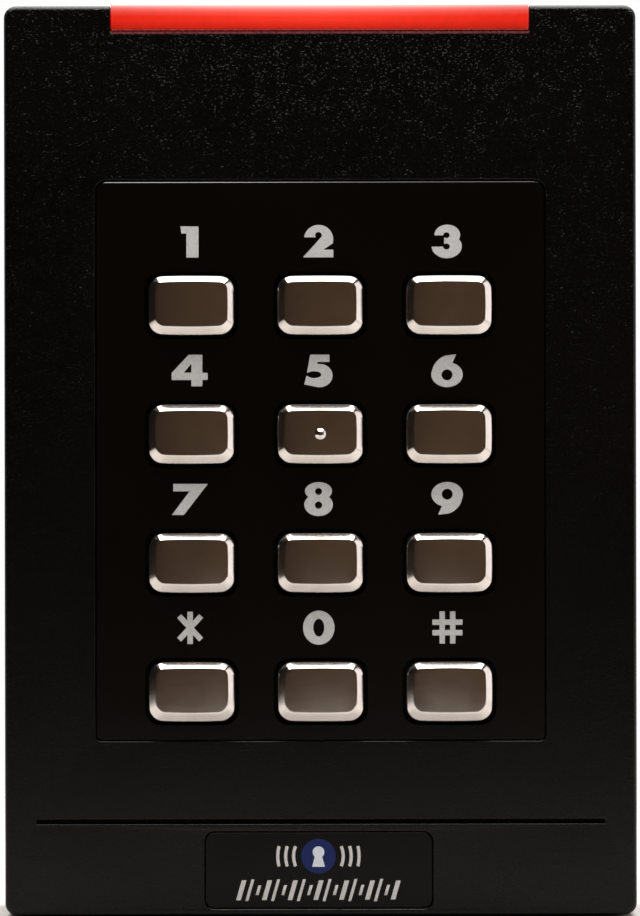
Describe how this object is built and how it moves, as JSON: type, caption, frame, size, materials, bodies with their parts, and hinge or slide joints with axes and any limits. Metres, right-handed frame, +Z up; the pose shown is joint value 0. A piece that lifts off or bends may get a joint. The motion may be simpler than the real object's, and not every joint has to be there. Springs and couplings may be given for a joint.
{
  "type": "keypad access reader",
  "caption": "Wall-mounted keypad card reader: black housing, sprung metal keys in a panel, red light bar in the top edge, hook-on wall plate.",
  "frame": {"origin": "centre of the wall plate's wall face", "axes": "+X right as the reader is seen from the front, +Y into the wall, +Z up; the front faces -Y"},
  "size_m": [0.0844, 0.0264, 0.1217],
  "materials": {
    "housing": "fine-grained matt black",
    "bezel": "smooth satin black",
    "legends": "matt light grey",
    "red_lens": "glossy translucent red, lit from behind",
    "clear_guide": "clear acrylic",
    "badge": "satin black with a printed emblem",
    "silicone": "matt dark grey silicone",
    "board": "green solder mask",
    "gold": "gold plated",
    "lamps": "yellow-white lamp bodies",
    "connector_plastic": "black moulded plastic",
    "bobbin": "natural nylon",
    "copper": "enamelled copper",
    "chip": "black epoxy",
    "tin": "tin plated",
    "can_metal": "drawn aluminium",
    "ferrite": "dark ferrite",
    "terminal_plastic": "green nylon",
    "zinc_steel": "zinc plated",
    "rear_plastic": "matt black",
    "gasket": "dark foam rubber",
    "plate_plastic": "matt black",
    "brass_insert": "turned brass",
    "key_metal": "polished cast zinc, plated",
    "carbon": "carbon-loaded rubber"
  },
  "bodies": {
    "reader": {"front_housing": "housing", "keypad_bezel": "bezel", "key_legends": "legends", "light_bar_lens": "red_lens", "light_bar_guide": "clear_guide", "badge_plate": "badge", "keymat": "silicone", "keypad_pcb": "board", "contact_pads": "gold", "backlight_leds": "lamps", "main_pcb": "board", "light_bar_leds": "lamps", "board_header": "connector_plastic", "board_socket": "connector_plastic", "antenna_bobbin": "bobbin", "antenna_coil": "copper", "sounder_case": "connector_plastic", "sounder_disc": "gold", "controller_chip": "chip", "rf_shield": "tin", "crystal": "tin", "capacitors": "can_metal", "inductor": "ferrite", "tamper_sensor": "chip", "terminal_block": "terminal_plastic", "terminal_screws": "zinc_steel", "terminal_clamps": "gold", "rear_housing": "rear_plastic", "housing_gasket": "gasket", "housing_screws": "zinc_steel", "board_screws": "zinc_steel", "mounting_plate": "plate_plastic", "plate_insert": "brass_insert", "retaining_screw": "zinc_steel"},
    "key_1": {"key_1": "key_metal", "pill_1": "carbon"},
    "key_2": {"key_2": "key_metal", "pill_2": "carbon"},
    "key_3": {"key_3": "key_metal", "pill_3": "carbon"},
    "key_4": {"key_4": "key_metal", "pill_4": "carbon"},
    "key_5": {"key_5": "key_metal", "pill_5": "carbon"},
    "key_6": {"key_6": "key_metal", "pill_6": "carbon"},
    "key_7": {"key_7": "key_metal", "pill_7": "carbon"},
    "key_8": {"key_8": "key_metal", "pill_8": "carbon"},
    "key_9": {"key_9": "key_metal", "pill_9": "carbon"},
    "key_star": {"key_star": "key_metal", "pill_star": "carbon"},
    "key_0": {"key_0": "key_metal", "pill_0": "carbon"},
    "key_hash": {"key_hash": "key_metal", "pill_hash": "carbon"}
  },
  "joints": [
    {"name": "key_1_press", "type": "slide", "parent": "reader", "child": "key_1", "axis": [0, 1, 0], "range_m": [0, 0.0012], "stiffness_N_per_m": 800, "springref_m": -0.0006, "deforming": ["keymat"]},
    {"name": "key_2_press", "type": "slide", "parent": "reader", "child": "key_2", "axis": [0, 1, 0], "range_m": [0, 0.0012], "stiffness_N_per_m": 800, "springref_m": -0.0006, "deforming": ["keymat"]},
    {"name": "key_3_press", "type": "slide", "parent": "reader", "child": "key_3", "axis": [0, 1, 0], "range_m": [0, 0.0012], "stiffness_N_per_m": 800, "springref_m": -0.0006, "deforming": ["keymat"]},
    {"name": "key_4_press", "type": "slide", "parent": "reader", "child": "key_4", "axis": [0, 1, 0], "range_m": [0, 0.0012], "stiffness_N_per_m": 800, "springref_m": -0.0006, "deforming": ["keymat"]},
    {"name": "key_5_press", "type": "slide", "parent": "reader", "child": "key_5", "axis": [0, 1, 0], "range_m": [0, 0.0012], "stiffness_N_per_m": 800, "springref_m": -0.0006, "deforming": ["keymat"]},
    {"name": "key_6_press", "type": "slide", "parent": "reader", "child": "key_6", "axis": [0, 1, 0], "range_m": [0, 0.0012], "stiffness_N_per_m": 800, "springref_m": -0.0006, "deforming": ["keymat"]},
    {"name": "key_7_press", "type": "slide", "parent": "reader", "child": "key_7", "axis": [0, 1, 0], "range_m": [0, 0.0012], "stiffness_N_per_m": 800, "springref_m": -0.0006, "deforming": ["keymat"]},
    {"name": "key_8_press", "type": "slide", "parent": "reader", "child": "key_8", "axis": [0, 1, 0], "range_m": [0, 0.0012], "stiffness_N_per_m": 800, "springref_m": -0.0006, "deforming": ["keymat"]},
    {"name": "key_9_press", "type": "slide", "parent": "reader", "child": "key_9", "axis": [0, 1, 0], "range_m": [0, 0.0012], "stiffness_N_per_m": 800, "springref_m": -0.0006, "deforming": ["keymat"]},
    {"name": "key_star_press", "type": "slide", "parent": "reader", "child": "key_star", "axis": [0, 1, 0], "range_m": [0, 0.0012], "stiffness_N_per_m": 800, "springref_m": -0.0006, "deforming": ["keymat"]},
    {"name": "key_0_press", "type": "slide", "parent": "reader", "child": "key_0", "axis": [0, 1, 0], "range_m": [0, 0.0012], "stiffness_N_per_m": 800, "springref_m": -0.0006, "deforming": ["keymat"]},
    {"name": "key_hash_press", "type": "slide", "parent": "reader", "child": "key_hash", "axis": [0, 1, 0], "range_m": [0, 0.0012], "stiffness_N_per_m": 800, "springref_m": -0.0006, "deforming": ["keymat"]}
  ]
}
